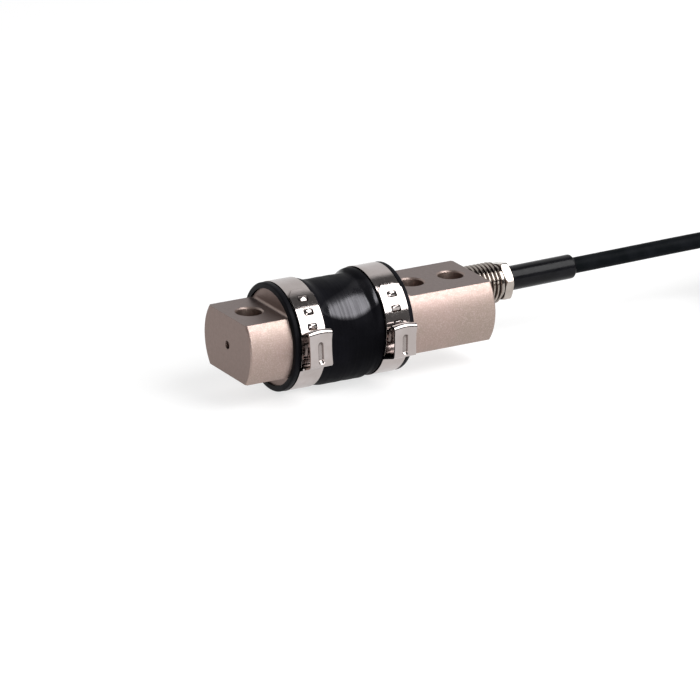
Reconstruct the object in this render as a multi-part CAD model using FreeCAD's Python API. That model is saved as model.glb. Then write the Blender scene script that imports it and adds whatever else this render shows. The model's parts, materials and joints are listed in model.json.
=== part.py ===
import FreeCAD, Part
import math
import os

# Single-ended beam load cell: a round steel bar with milled ends, one load hole and two fixing holes,
# a rubber sleeve held by two strip clamps over the gauged middle, and a cable entry at the fixed end.
#
# Frame, in millimetres: the origin is midway between the two fixing holes, on the lower mounting face.
# +X runs from the load end towards the cable, +Z is up, and -Y is the side that carries the clamp ears.
# Angles round the bar are measured from -Y towards +Z.

Vec = FreeCAD.Vector
X_AXIS = Vec(1, 0, 0)
Y_AXIS = Vec(0, 1, 0)
Z_AXIS = Vec(0, 0, 1)

# Beam: the bar, its milled flats and its holes
bar_dia = 32.0
flat_height = 20.0  # across the milled flats
load_margin = 8.0  # load end face to load hole
load_span = 60.0  # load hole to first fixing hole
fixing_pitch = 15.0
fixing_margin = 8.0  # last fixing hole to cable end face
load_flat = 16.0  # length of the flats at the load end
fixed_flat = 31.0  # length of the flats at the fixed end
flat_fillet = 1.0
end_chamfer = 0.5
hole_dia = 8.5  # clearance for M8
hole_chamfer = 0.45
centre_hole_dia = 2.8
centre_hole_depth = 4.0
centre_hole_cone = 1.2  # depth of the drill's point

# Gauge pockets: two round pockets leave a web, with a ledge outside each for the board
web = 4.0
pocket_dia = 14.0
ledge_dia = 16.4
ledge_inset = 5.0  # from the bar's side to the ledge
crossover_dia = 3.0  # hole through the web for the near gauge's wires
crossover_offset = 4.6

# Gauges, their coating and the terminal board
gauge_size = 5.6
gauge_foil = 0.12
gauge_tab = 1.1
coating_dia = 8.4
coating_height = 1.2
coating_gap = 0.06
board_thick = 0.8
board_gap = 0.1
pad_dia = 1.4
pad_thick = 0.1
wire_pads_x = -3.6  # from the gauge's middle to the column of pads for its wires
core_pads_x = 0.5  # and to the column of pads for the cable's cores
resistor_length = 3.2
resistor_width = 1.6
resistor_height = 0.6
wire_dia = 0.4
wire_lift = 0.5  # of a wire over the gauge before it bends away
wire_step = 0.9  # along the bar from its tab to that bend
wire_crossing = 1.2  # straight wire beyond the crossover hole
near_wire_turn = 0.7  # share of the ledge's depth where the near gauge's wires turn to their pads
far_wire_turn = 0.6
pad_rows = 4

# Rubber sleeve
sleeve_overlap = 0.7  # past the load-end shoulder
sleeve_setback = 0.9  # short of the fixed-end shoulder
rim_wall = 1.9
front_rim_width = 2.0
rear_rim_width = 1.75
seat_width = 9.0
rim_round = 0.5
seat_wall = 1.4
lip_wall = 1.65
lip_width = 1.6
slope_width = 2.2
middle_wall = 1.25
middle_sag = 0.95  # the rubber between the clamps hangs this far below the bar's axis

# Strip clamps: lengths round the bar are measured along the inner layer
strip = 0.6
clamp_width = 8.6
clamp_gap = 0.05  # between the two layers of a clamp
window_length = 2.2
window_width = 3.2
window_round = 0.6
window_pitch = 4.7
windows = 3
first_window = 4.2  # from the tail's end to the middle of the first window
lug_gap = 0.2
lug_height = 1.15
tail_cut_along = 2.6
tail_cut_across = 2.3
ear_rise = 5.5  # of the ear's plate above the band
root_lead = 0.8  # straight strip where the ear leaves the tail layer
foot_lead = 1.25  # straight strip where the ear meets the band
ear_ramp = 3.85  # round the bar from the plate's lower edge to the foot of its ramp
root_bend = 0.5
ear_bend = 0.9
foot_bend = 1.6
tongue_reach = 1.25  # of the gap between the inner layer's end and the ear's foot
bead_length = 7.6
bead_width = 3.6
bead_depth = 0.4
bead_wall = 0.35
bead_drop = 0.6  # of the bead's middle below the plate's middle
dimple_radius = 1.1
dimple_depth = 0.35
front_tail = 21.0  # up round the bar from its -Y side, as are the places of both ears
front_ear = (5.1, 5.8, -3.1)  # root on the band, top and bottom of the plate
rear_tail = 17.2
rear_ear = (1.7, 3.7, -4.75)

# Cable entry: a hollow screw that squeezes a rubber seal round the cable
entry_side = 8.0  # of the entry's axis from the bar's, so that the wires pass beside the fixing holes
entry_rise = 1.5
thread_dia = 14.0
seat_depth = 3.0
thread_exposed = 13.2
thread_chamfer = 0.6
neck_length = 1.4
neck_dia = 11.6
hex_flats = 12.0
hex_thick = 3.0
hex_chamfer = 0.35
hex_cone_slope = 2.0  # radius gained for each millimetre along the axis
hex_turn = 14.0  # degrees from -Y to a corner
passage_dia = 4.0
seal_dia = 9.6
seal_length = 8.0
washer_thick = 0.8
washer_gap = 0.1
cable_clearance = 0.35

# Cable and the shrink tube that covers its start
cable_dia = 5.5
cable_rise = 0.82  # degrees that the cable climbs as it leaves
lead_straight = 50.0
lead_crest = (110.0, 0.3, 1.35)  # x of the cable's highest bend, and its offsets from the entry's axis
lead_run_in = 5.0  # straight run in line with the hank's strand
relief_dia = 8.2
relief_length = 26.0
relief_gap = 0.05
relief_round = 0.9
core_dia = 1.2
core_spread = 0.66  # of each core from the middle of the bundle
arc_share = 0.45  # of the shorter run, at each of a cord's corners

# Hank that the rest of the cable is stowed in: long turns, two side by side and five high
hank_columns = 2
hank_layers = 5
lead_layer = 3  # that the lead joins, counted from the lowest
hank_x = 143.0  # start of its straight runs
hank_run = 15 * cable_dia
fold_r = 4 * cable_dia  # of its outermost turns
layer_rise = 5.7
hank_slack = 0.1  # between the outermost turns and the shape that stands for the bundle
hank_lead_in = 16.8  # straight strand beside the near fold
tie_place = 0.47  # of the straight run, from the near fold
tie_width = 10.0
tie_thick = 0.8
tie_gap = 0.4

# The cable's far end, which lies on top of the hank
tail_rest = 0.1  # clearance over the hank
tail_start = 0.9  # of the straight run, from the near fold
tail_top = 0.67
jacket_end = 0.28
tail_inset = 2.5  # how far in from the outermost turns it comes to lie
tail_sleeve_dia = 7.0
tail_sleeve_length = 9.5
tail_sleeve_gap = 0.05
tail_core_length = 28.0
tail_core_bends = (0.2, 0.5, 0.75)  # shares of that length where a core turns down, out and along
tail_core_spread = (0.15, 0.6, 0.95, 1.1)  # shares of the fan reached at the bends and at the end
tail_tip_length = 6.0
tail_tip_dia = 0.8
core_colours = ("red", "black", "green", "white")
core_fan = 3.1  # between the ends of the cores
drain_dia = 0.6

# Worked out from the values above
bar_r = bar_dia / 2
axis_z = flat_height / 2
first_hole_x = -fixing_pitch / 2
last_hole_x = fixing_pitch / 2
load_hole_x = first_hole_x - load_span
load_end_x = load_hole_x - load_margin
cable_end_x = last_hole_x + fixing_margin
load_shoulder_x = load_end_x + load_flat
fixed_shoulder_x = cable_end_x - fixed_flat
ledge_depth = bar_r - ledge_inset  # from the bar's middle plane
gauge_x = (load_hole_x + first_hole_x) / 2

sleeve_start = load_shoulder_x - sleeve_overlap
sleeve_end = fixed_shoulder_x - sleeve_setback
front_seat_x = sleeve_start + front_rim_width
rear_seat_x = sleeve_end - rear_rim_width - seat_width
seat_r = bar_r + seat_wall
band_mid = seat_r + strip / 2
tail_mid = band_mid + strip + clamp_gap
floor_z = axis_z - bar_r - middle_wall - middle_sag

entry_z = axis_z + entry_rise
seat_x = cable_end_x - seat_depth
thread_end_x = cable_end_x + thread_exposed
hex_x = thread_end_x + neck_length
hex_end_x = hex_x + hex_thick
seal_x = seat_x + washer_gap + washer_thick
lead_start = Vec(seal_x + 0.6, entry_side, entry_z)
rise = math.radians(cable_rise)
lead_aim = Vec(math.cos(rise), 0, math.sin(rise))

hank_y = entry_side - fold_r
strand_low = floor_z + tie_thick + tie_gap + cable_dia / 2
strand_top = strand_low + (hank_layers - 1) * layer_rise
lead_level = strand_low + lead_layer * layer_rise
hank_top = strand_top + cable_dia / 2 + hank_slack
tail_y = hank_y - fold_r
tail_level = hank_top + tail_rest + tail_sleeve_dia / 2


def round_bar(radius, x0, x1, y=0.0, z=None):
    """A solid cylinder along X."""
    z = axis_z if z is None else z
    return Part.makeCylinder(radius, x1 - x0, Vec(x0, y, z), X_AXIS)


def polar(radius, angle, x=0.0):
    """The point at an angle round the bar's axis, from -Y towards +Z."""
    turn = math.radians(angle)
    return Vec(x, -radius * math.cos(turn), axis_z + radius * math.sin(turn))


def turn_of(length):
    """The degrees that a length takes up round the bar, along the clamps' inner layer."""
    return math.degrees(length / band_mid)


def unit(v):
    return Vec(v).normalize()


def line(p, q):
    return Part.LineSegment(p, q).toShape()


def arc(p, m, q):
    return Part.Arc(p, m, q).toShape()


def corner_arc(before, corner, after, radius):
    """Start, middle, end and centre of the arc of one radius that rounds a corner."""
    back, ahead = unit(before - corner), unit(after - corner)
    half = (math.pi - back.getAngle(ahead)) / 2
    cut = radius * math.tan(half)
    inward = unit(back + ahead)
    reach = radius / math.cos(half)
    return (
        corner + back * cut,
        corner + inward * (reach - radius),
        corner + ahead * cut,
        corner + inward * reach,
    )


def cord_radius(before, corner, after):
    """The largest arc that both runs at a cord's corner allow."""
    back, ahead = before - corner, after - corner
    half = (math.pi - back.getAngle(ahead)) / 2
    return arc_share * min(back.Length, ahead.Length) / math.tan(half)


def cord(points, dia):
    """A round cord along straight runs joined by tangent arcs, with its length and radii."""
    edges, radii, start = [], [], points[0]
    for before, corner, after in zip(points, points[1:], points[2:]):
        radius = cord_radius(before, corner, after)
        p, m, q, _ = corner_arc(before, corner, after, radius)
        edges += [line(start, p), arc(p, m, q)]
        radii.append(radius)
        start = q
    edges.append(line(start, points[-1]))
    path = Part.Wire(edges)
    profile = Part.Wire([Part.Circle(points[0], points[1] - points[0], dia / 2).toShape()])
    solid = path.makePipeShell([profile], True, False) if len(edges) > 1 else straight(points, dia)
    return solid, path.Length, radii


def straight(points, dia):
    aim = points[1] - points[0]
    return Part.makeCylinder(dia / 2, aim.Length, points[0], aim)


def ring_pieces(radius, start, end):
    """Arcs round the bar's axis with falling angle, each with its points and inward normals."""
    count = max(1, math.ceil((start - end) / 120))
    step = (start - end) / count
    pieces = []
    for i in range(count):
        angles = [start - step * (i + share) for share in (0, 0.5, 1)]
        points = [polar(radius, a) for a in angles]
        pieces.append((points, [unit(polar(0, 0) - p) for p in points]))
    return pieces


def bent_pieces(points, radii):
    """Straight runs with a bend of its own radius at each corner, with their left normals."""
    pieces, start = [], points[0]
    for before, corner, after, radius in zip(points, points[1:], points[2:], radii):
        p, m, q, centre = corner_arc(before, corner, after, radius)
        left = X_AXIS.cross(unit(corner - before))
        pieces.append(([start, p], [left, left]))
        towards = 1 if left.dot(centre - p) > 0 else -1
        pieces.append(([p, m, q], [unit(centre - v) * towards for v in (p, m, q)]))
        start = q
    left = X_AXIS.cross(unit(points[-1] - start))
    pieces.append(([start, points[-1]], [left, left]))
    return pieces


def ribbon(pieces, thick, width):
    """A strip of even thickness along a path in the YZ plane, extruded along X."""
    sides = []
    for offset in (thick / 2, -thick / 2):
        moved = [[p + n * offset for p, n in zip(*piece)] for piece in pieces]
        sides.append(moved)
    edges = [arc(*m) if len(m) == 3 else line(*m) for side in sides for m in side]
    for end in (0, -1):
        edges.append(line(sides[0][end][end], sides[1][end][end]))
    face = Part.Face(Part.Wire(Part.__sortEdges__(edges)))
    return face.extrude(Vec(width, 0, 0))


def sector(inner, outer, start, end, x0, x1):
    """Part of a ring round the bar's axis."""
    solid = ribbon(ring_pieces((inner + outer) / 2, start, end), outer - inner, x1 - x0)
    return solid.translate(Vec(x0, 0, 0))


def flat_cutter(x_end, x_shoulder, side):
    """What the mill takes off one side of one end, with a round at the shoulder's foot."""
    away = 1 if x_end > x_shoulder else -1
    low = axis_z + side * flat_height / 2
    high = axis_z + side * bar_dia
    corner = Vec(x_shoulder, -bar_dia, low)
    far = Vec(x_end + away * bar_dia, -bar_dia, low)
    top = Vec(x_shoulder, -bar_dia, high)
    p, m, q, _ = corner_arc(far, corner, top, flat_fillet)
    outline = [line(far, p), arc(p, m, q), line(q, top)]
    outline += [line(top, Vec(far.x, far.y, high)), line(Vec(far.x, far.y, high), far)]
    return Part.Face(Part.Wire(outline)).extrude(Vec(0, 2 * bar_dia, 0))


def vertical_hole(x):
    """A through hole along Z with a chamfer at each flat."""
    hole_r = hole_dia / 2
    wide = hole_r + hole_chamfer
    cutter = Part.makeCylinder(hole_r, flat_height, Vec(x, 0, 0), Z_AXIS)
    for z, aim in ((0, Z_AXIS), (flat_height, -Z_AXIS)):
        cone = Part.makeCone(wide, hole_r, hole_chamfer, Vec(x, 0, z), aim)
        cutter = cutter.fuse(cone)
    return cutter


def pocket(side):
    """A gauge pocket from one side of the bar, with the ledge outside it."""
    aim = Y_AXIS * side
    start = Vec(gauge_x, 0, axis_z)
    floor = Part.makeCylinder(pocket_dia / 2, bar_dia, start + aim * (web / 2), aim)
    ledge = Part.makeCylinder(ledge_dia / 2, bar_dia, start + aim * ledge_depth, aim)
    return floor.fuse(ledge)


def beam_body():
    """The turned and milled bar."""
    half = bar_r - end_chamfer
    outline = [
        Vec(load_end_x, 0, 0),
        Vec(load_end_x, 0, half),
        Vec(load_end_x + end_chamfer, 0, bar_r),
        Vec(cable_end_x - end_chamfer, 0, bar_r),
        Vec(cable_end_x, 0, half),
        Vec(cable_end_x, 0, 0),
    ]
    profile = Part.Face(Part.makePolygon(outline + outline[:1]))
    bar = profile.revolve(Vec(0, 0, 0), X_AXIS, 360).translate(Vec(0, 0, axis_z))
    ends = ((load_end_x, load_shoulder_x), (cable_end_x, fixed_shoulder_x))
    cuts = [flat_cutter(end, shoulder, side) for end, shoulder in ends for side in (1, -1)]
    cuts += [vertical_hole(x) for x in (load_hole_x, first_hole_x, last_hole_x)]
    cuts += [pocket(side) for side in (1, -1)]
    crossover_x = gauge_x - crossover_offset
    cuts.append(Part.makeCylinder(crossover_dia / 2, 2 * web, Vec(crossover_x, -web, axis_z), Y_AXIS))
    cuts.append(round_bar(passage_dia / 2, gauge_x, cable_end_x, entry_side, entry_z))
    cuts.append(round_bar(thread_dia / 2, seat_x, cable_end_x + 1, entry_side, entry_z))
    centre_r = centre_hole_dia / 2
    tip_x = load_end_x + centre_hole_depth
    cuts.append(round_bar(centre_r, load_end_x - 1, tip_x))
    cuts.append(Part.makeCone(centre_r, 0, centre_hole_cone, Vec(tip_x, 0, axis_z), X_AXIS))
    for cutter in cuts:
        bar = bar.cut(cutter)
    return bar


def gauge(side):
    """A foil rosette on one face of the web: a carrier and three solder tabs."""
    face_y = side * web / 2
    out = side * gauge_foil
    half = gauge_size / 2
    start = Vec(gauge_x - half, min(face_y, face_y + out), axis_z - half)
    carrier = Part.makeBox(gauge_size, gauge_foil, gauge_size, start)
    for x, z in gauge_tabs():
        start = Vec(x - gauge_tab / 2, min(face_y + out, face_y + 2 * out), z - gauge_tab / 2)
        carrier = carrier.fuse(Part.makeBox(gauge_tab, gauge_foil, gauge_tab, start))
    return carrier


def gauge_tabs():
    """X and Z of a gauge's three solder tabs, in a row on its load-end side."""
    row_x = gauge_x - gauge_size / 2 + gauge_tab
    step = gauge_size / 3
    return [(row_x, axis_z + step * i) for i in (-1, 0, 1)]


def coating(side):
    """The soft sealing pad over a gauge: a low dome that its gauge leaves a print in."""
    foot = Vec(gauge_x, side * web / 2, axis_z)
    aim = Y_AXIS * side
    base_r = coating_dia / 2
    ball_r = (base_r**2 + coating_height**2) / (2 * coating_height)
    ball = Part.makeSphere(ball_r, foot + aim * (coating_height - ball_r))
    slab = Part.makeCylinder(base_r, coating_height, foot, aim)
    pad = ball.common(slab)
    hollow = gauge_size + 2 * coating_gap
    height = 2 * gauge_foil + coating_gap
    start = Vec(gauge_x - hollow / 2, min(foot.y, foot.y + side * height), axis_z - hollow / 2)
    pad = pad.cut(Part.makeBox(hollow, height, hollow, start))
    for points in gauge_wire_routes(side):
        pad = pad.cut(cord(points, wire_dia + 2 * coating_gap)[0])
    return pad


def pad_places():
    """X and Z of the board's pads: a column for the gauge wires and a column for the cable's cores."""
    step = pocket_dia / (pad_rows + 2)
    rows = [axis_z + step * (i - (pad_rows - 1) / 2) for i in range(pad_rows)]
    wires = [(gauge_x + wire_pads_x, z) for z in rows[1:]]
    cores = [(gauge_x + core_pads_x, z) for z in rows]
    return wires, cores


def up_to_pads(solid):
    """A wire or core cut square where it meets the faces of the board's pads."""
    beyond = Part.makeBox(ledge_dia, core_dia, ledge_dia)
    beyond.translate(Vec(gauge_x - ledge_dia / 2, ledge_depth - pad_thick, axis_z - ledge_dia / 2))
    return solid.cut(beyond)


def terminal_board():
    """A round board on the far pocket's ledge, with solder pads on its inner face."""
    radius = ledge_dia / 2 - board_gap
    board = Part.makeCylinder(radius, board_thick, Vec(gauge_x, ledge_depth, axis_z), Y_AXIS)
    for x, z in sum(pad_places(), []):
        pad = Part.makeCylinder(pad_dia / 2, pad_thick, Vec(x, ledge_depth - pad_thick, z), Y_AXIS)
        board = board.fuse(pad)
    return board


def resistor(column):
    """A chip resistor on the board's outer face."""
    x = gauge_x + column * (resistor_width + 1.2) - resistor_width / 2
    start = Vec(x, ledge_depth + board_thick, axis_z - resistor_length / 2)
    return Part.makeBox(resistor_width, resistor_height, resistor_length, start)


def gauge_wire_routes(side):
    """Points of the three wires from a gauge's tabs to the board, through the web on the near side."""
    wires, _ = pad_places()
    routes = []
    for i, ((tab_x, tab_z), (pad_x, pad_z)) in enumerate(zip(gauge_tabs(), wires)):
        shift = (i - 1) * 1.5 * wire_dia
        top = side * (web / 2 + 2 * gauge_foil)
        over = top + side * (wire_dia / 2)
        hole_x = gauge_x - crossover_offset
        hole_z = axis_z + shift
        if side < 0:
            routes.append(
                [
                    Vec(tab_x, over, tab_z),
                    Vec(tab_x - wire_step, over - wire_lift, tab_z - shift),
                    Vec(hole_x - (i + 1) * wire_dia / 2, -web / 2 - wire_dia, hole_z),
                    Vec(hole_x, web / 2 + wire_crossing, hole_z),
                    Vec(pad_x - wire_step, near_wire_turn * ledge_depth, pad_z - wire_lift),
                    Vec(pad_x - wire_dia, ledge_depth, pad_z),
                ]
            )
        else:
            routes.append(
                [
                    Vec(tab_x, over, tab_z),
                    Vec(tab_x + wire_dia, over + 2 * wire_lift, tab_z + wire_dia / 2),
                    Vec(tab_x + wire_step, far_wire_turn * ledge_depth, (tab_z + pad_z) / 2),
                    Vec(pad_x + wire_dia, ledge_depth, pad_z),
                ]
            )
    return routes


def gauge_wire(points):
    return up_to_pads(cord(points, wire_dia)[0])


def bundle_place(index):
    """Sideways and upward place of one core in the cable's bundle of four."""
    return core_spread * (1 if index % 2 else -1), core_spread * (1 if index // 2 else -1)


def inner_core(index):
    """A core inside the beam, through the passage to its pad on the board."""
    side, lift = bundle_place(index)
    y, z = entry_side + side, entry_z + lift
    _, pads = pad_places()
    pad_x, pad_z = pads[index]
    points = [
        Vec(lead_start.x - math.sin(rise) * cable_dia / 2, y, z),
        Vec(gauge_x + pocket_dia / 2 - 2 * core_dia, y, z),
        Vec(pad_x + core_dia, (y + ledge_depth) / 2, pad_z),
        Vec(pad_x, ledge_depth, pad_z),
    ]
    return up_to_pads(cord(points, core_dia)[0])


def tail_core(index, jacket):
    """A core that fans out of the jacket's far end onto the hank, and its bare tip."""
    side, lift = bundle_place(index)
    place = index // 2 + 2 * (index % 2)
    fan = core_fan * (place - (len(core_colours) - 1) / 2)
    end = tail_points()[-1]
    points = [end + Vec(0, side, lift)]
    lying_z = hank_top + tail_rest + core_dia / 2
    for share, spread in zip(tail_core_bends + (1.0,), tail_core_spread):
        points.append(Vec(end.x - share * tail_core_length, end.y + spread * fan, lying_z))
    points[1] += Vec(0, side, points[0].z - points[1].z)
    aim = unit(points[-1] - points[-2])
    tip = Part.makeCylinder(tail_tip_dia / 2, tail_tip_length, points[-1], aim)
    return cord(points, core_dia)[0].cut(jacket), tip


def drain_wire(jacket):
    """The bare screen wire, from the middle of the bundle."""
    end = tail_points()[-1]
    points = [end]
    lying_z = hank_top + tail_rest + drain_dia / 2
    for share in tail_core_bends[:2] + (1.0,):
        points.append(Vec(end.x - share * tail_core_length, end.y, lying_z))
    points[1].z = end.z
    return cord(points, drain_dia)[0].cut(jacket)


def rubber_sleeve():
    """The moulded sleeve: two rims, two band seats, and a middle that sags between low lips."""
    rim_r, lip_r = bar_r + rim_wall, bar_r + lip_wall
    sag = Vec(0, 0, -middle_sag)
    front_lip = front_seat_x + seat_width
    stations = [
        (front_lip, lip_r, Vec()),
        (front_lip + lip_width, lip_r, Vec()),
        (front_lip + lip_width + slope_width, bar_r + middle_wall, sag),
        (rear_seat_x - lip_width - slope_width, bar_r + middle_wall, sag),
        (rear_seat_x - lip_width, lip_r, Vec()),
        (rear_seat_x, lip_r, Vec()),
    ]
    rings = []
    for x, radius, drop in stations:
        circle = Part.Circle(Vec(x, 0, axis_z) + drop, X_AXIS, radius)
        rings.append(Part.Wire([circle.toShape()]))
    body = Part.makeLoft(rings, True, True)
    for x0, x1 in ((sleeve_start, front_seat_x), (rear_seat_x + seat_width, sleeve_end)):
        rim = round_bar(rim_r, x0, x1)
        circles = [e for e in rim.Edges if e.Curve.TypeId.endswith("Circle")]
        body = body.fuse(rim.makeFillet(rim_round, circles))
    for x in (front_seat_x, rear_seat_x):
        body = body.fuse(round_bar(seat_r, x, x + seat_width))
    bore = round_bar(bar_r, sleeve_start - 1, sleeve_end + 1)
    return body.cut(bore).removeSplitter()


def ear_path(root, top, bottom):
    """The ear's middle line: out from the tail layer, over the lip, down the plate and back to the band."""
    plate_r = band_mid + ear_rise
    foot = bottom - turn_of(ear_ramp)
    leaving, landing = turn_of(root_lead), turn_of(foot_lead)
    corners = [
        polar(tail_mid, root + leaving),
        polar(tail_mid / math.cos(math.radians(leaving)), root),
        polar(plate_r, top),
        polar(plate_r, bottom),
        polar(band_mid / math.cos(math.radians(landing)), foot),
        polar(band_mid, foot - landing),
    ]
    return bent_pieces(corners, (root_bend, ear_bend, ear_bend, foot_bend))


def window(middle, x_mid):
    """One window of the tail layer, with rounded corners."""
    half = math.degrees(window_length / 2 / tail_mid)
    x0, x1 = x_mid - window_width / 2, x_mid + window_width / 2
    solid = sector(tail_mid - strip, tail_mid + strip, middle + half, middle - half, x0, x1)
    corners = [e for e in solid.Edges if abs(e.Length - 2 * strip) < 0.001]
    return solid.makeFillet(window_round, corners)


def lug(middle, x_mid):
    """A hook pressed out of the band: a wedge that stands up in its window."""
    base = band_mid + strip / 2
    half = math.degrees((window_length / 2 - lug_gap) / base)
    width = window_width - 2 * lug_gap
    outline = [
        polar(base - strip / 2, middle - half),
        polar(base + lug_height, middle - half),
        polar(base + lug_height, middle),
        polar(base + strip / 3, middle + half),
        polar(base - strip / 2, middle + half),
    ]
    face = Part.Face(Part.makePolygon(outline + outline[:1]))
    return face.extrude(Vec(width, 0, 0)).translate(Vec(x_mid - width / 2, 0, 0))


def tail_corner(x_edge, inward, tail):
    """The slanted slice that is cut from one corner of the tail."""
    angle = tail - math.degrees(tail_cut_along / 2 / tail_mid)
    out = unit(polar(1, angle) - polar(0, angle))
    onward = out.cross(X_AXIS)
    foot = polar(tail_mid - strip, angle, x_edge)
    across = X_AXIS * (inward * tail_cut_across)
    along = onward * tail_cut_along
    outline = [foot + across * 1.5 + along, foot - across * 0.5 - along, foot - across * 2 + along]
    face = Part.Face(Part.makePolygon(outline + outline[:1]))
    return face.extrude(out * (2 * strip))


def tail_layer(x0, tail, root, middles):
    """The outer layer: the strip's tail, with its windows and its two cut corners."""
    low, high = tail_mid - strip / 2, tail_mid + strip / 2
    layer = sector(low, high, tail, root + turn_of(root_lead), x0, x0 + clamp_width)
    for middle in middles:
        layer = layer.cut(window(middle, x0 + clamp_width / 2))
    for x_edge, inward in ((x0, 1), (x0 + clamp_width, -1)):
        layer = layer.cut(tail_corner(x_edge, inward, tail))
    return layer


def strip_clamp(seat_start, tail_length, ear):
    """A strip clamp in the middle of its seat, made from one strip: windowed tail, ear, and band with lugs."""
    x0 = seat_start + (seat_width - clamp_width) / 2
    tail, root, top, bottom = (turn_of(length) for length in (tail_length,) + ear)
    middles = [turn_of(tail_length - first_window - i * window_pitch) for i in range(windows)]
    x_mid = x0 + clamp_width / 2
    foot = bottom - turn_of(ear_ramp)
    pieces = ear_path(root, top, bottom)
    pieces += ring_pieces(band_mid, foot - turn_of(foot_lead), foot + turn_of(tongue_reach) - 360)
    band = ribbon(pieces, strip, clamp_width).translate(Vec(x0, 0, 0))
    band = band.fuse(tail_layer(x0, tail, root, middles))
    for middle in middles:
        band = band.fuse(lug(middle, x_mid))
    return press_bead(band, x_mid, top, bottom)


def obround(length, width, depth):
    """A slot-shaped block, its length along Z and its depth along -Y from the origin."""
    run = (length - width) / 2
    block = Part.makeBox(width, depth, 2 * run, Vec(-width / 2, -depth, -run))
    for z in (run, -run):
        block = block.fuse(Part.makeCylinder(width / 2, depth, Vec(0, 0, z), -Y_AXIS))
    return block.removeSplitter()


def on_plate(shape, x_mid, top, bottom):
    """A shape made round the origin, its -Y side out, moved to the middle of the ear's plate."""
    angle = (top + bottom) / 2
    height = (band_mid + ear_rise) * math.cos(math.radians((top - bottom) / 2))
    placed = shape.copy()
    placed.rotate(Vec(), X_AXIS, -angle)
    placed.translate(polar(height, angle, x_mid))
    return placed


def press_bead(band, x_mid, top, bottom):
    """The stiffening bead and dimple pressed into the ear's plate."""
    drop = Vec(0, 0, -bead_drop)
    wall = 2 * bead_wall
    boss = obround(bead_length + wall, bead_width + wall, bead_depth + strip / 4)
    boss.translate(Vec(0, strip / 2 + bead_depth, 0) + drop)
    recess = obround(bead_length, bead_width, strip + bead_depth)
    recess.translate(Vec(0, bead_depth - strip / 2, 0) + drop)
    ball_y = bead_depth - strip / 2 + dimple_depth - dimple_radius
    ball_z = (bead_width - bead_length) / 2
    ball = Part.makeSphere(dimple_radius, Vec(0, ball_y, ball_z) + drop)
    band = band.fuse(on_plate(boss, x_mid, top, bottom))
    for tool in (recess, ball):
        band = band.cut(on_plate(tool, x_mid, top, bottom))
    return band


def hex_prism(flats, x0, x1):
    """A hexagonal prism on the entry's axis, with its corners taken off by cones."""
    corner_r = flats / math.sqrt(3)
    corners = []
    for i in range(7):
        turn = math.radians(hex_turn + 60 * i)
        corners.append(Vec(x0, entry_side - corner_r * math.cos(turn), entry_z + corner_r * math.sin(turn)))
    prism = Part.Face(Part.makePolygon(corners)).extrude(Vec(x1 - x0, 0, 0))
    face_r = corner_r - 2 * hex_chamfer
    mid_x = (x0 + x1) / 2
    half = (x1 - x0) / 2
    wide = face_r + half * hex_cone_slope
    cones = Part.makeCone(face_r, wide, half, Vec(x0, entry_side, entry_z), X_AXIS)
    cones = cones.fuse(Part.makeCone(wide, face_r, half, Vec(mid_x, entry_side, entry_z), X_AXIS))
    return prism.common(cones)


def gland_screw():
    """The hollow screw: threaded shank, relieved neck, hexagon, and a counterbore for the seal."""
    thread_r = thread_dia / 2
    shank = round_bar(thread_r, seat_x, thread_end_x, entry_side, entry_z)
    ends = [e for e in shank.Edges if e.Curve.TypeId.endswith("Circle")]
    shank = shank.makeChamfer(thread_chamfer, ends)
    neck = round_bar(neck_dia / 2, thread_end_x, hex_x, entry_side, entry_z)
    screw = shank.fuse(neck).fuse(hex_prism(hex_flats, hex_x, hex_end_x))
    counterbore = round_bar(seal_dia / 2, seat_x, seal_x + seal_length, entry_side, entry_z)
    bore = round_bar(cable_dia / 2 + cable_clearance, seat_x, hex_end_x, entry_side, entry_z)
    return screw.cut(counterbore).cut(bore)


def cable_seal():
    """The rubber ring that is squeezed round the cable."""
    ring = round_bar(seal_dia / 2, seal_x, seal_x + seal_length, entry_side, entry_z)
    return ring.cut(along_lead(cable_dia, -1.0, 2 * seal_length))


def thrust_washer():
    """The flat washer between the seat's floor and the seal."""
    x0 = seat_x + washer_gap
    ring = round_bar(seal_dia / 2, x0, x0 + washer_thick, entry_side, entry_z)
    return ring.cut(round_bar(passage_dia / 2, x0, x0 + washer_thick, entry_side, entry_z))


def along_lead(dia, start, end):
    """A round bar on the cable's line, between two distances from the cable's start."""
    return Part.makeCylinder(dia / 2, end - start, lead_start + lead_aim * start, lead_aim)


def strain_relief():
    """The shrink tube over the start of the cable, flush with the hexagon's end."""
    hidden = hex_end_x - lead_start.x
    tube = along_lead(relief_dia, hidden - 1.0, hidden + relief_length)
    far = max(tube.Edges, key=lambda e: e.CenterOfMass.x)
    tube = tube.makeFillet(relief_round, [far])
    tube = tube.cut(along_lead(cable_dia + 2 * relief_gap, hidden - 2.0, hidden + relief_length + 1.0))
    room = round_bar(relief_dia, hex_x, hex_end_x, entry_side, entry_z)
    return tube.cut(room)


def lead_points():
    """The cable from inside the entry to the hank, as it lies."""
    return [
        lead_start,
        lead_start + lead_aim * lead_straight,
        Vec(lead_crest[0], entry_side + lead_crest[1], entry_z + lead_crest[2]),
        Vec(hank_x - hank_lead_in - lead_run_in, entry_side, lead_level),
        Vec(hank_x - hank_lead_in, entry_side, lead_level),
    ]


def tail_points():
    """The cable from the hank's top turn to the end of its jacket."""
    return [
        Vec(hank_x + tail_start * hank_run, tail_y, strand_top),
        Vec(hank_x + tail_top * hank_run, tail_y + tail_inset, tail_level),
        Vec(hank_x + jacket_end * hank_run, tail_y + tail_inset, tail_level),
    ]


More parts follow.
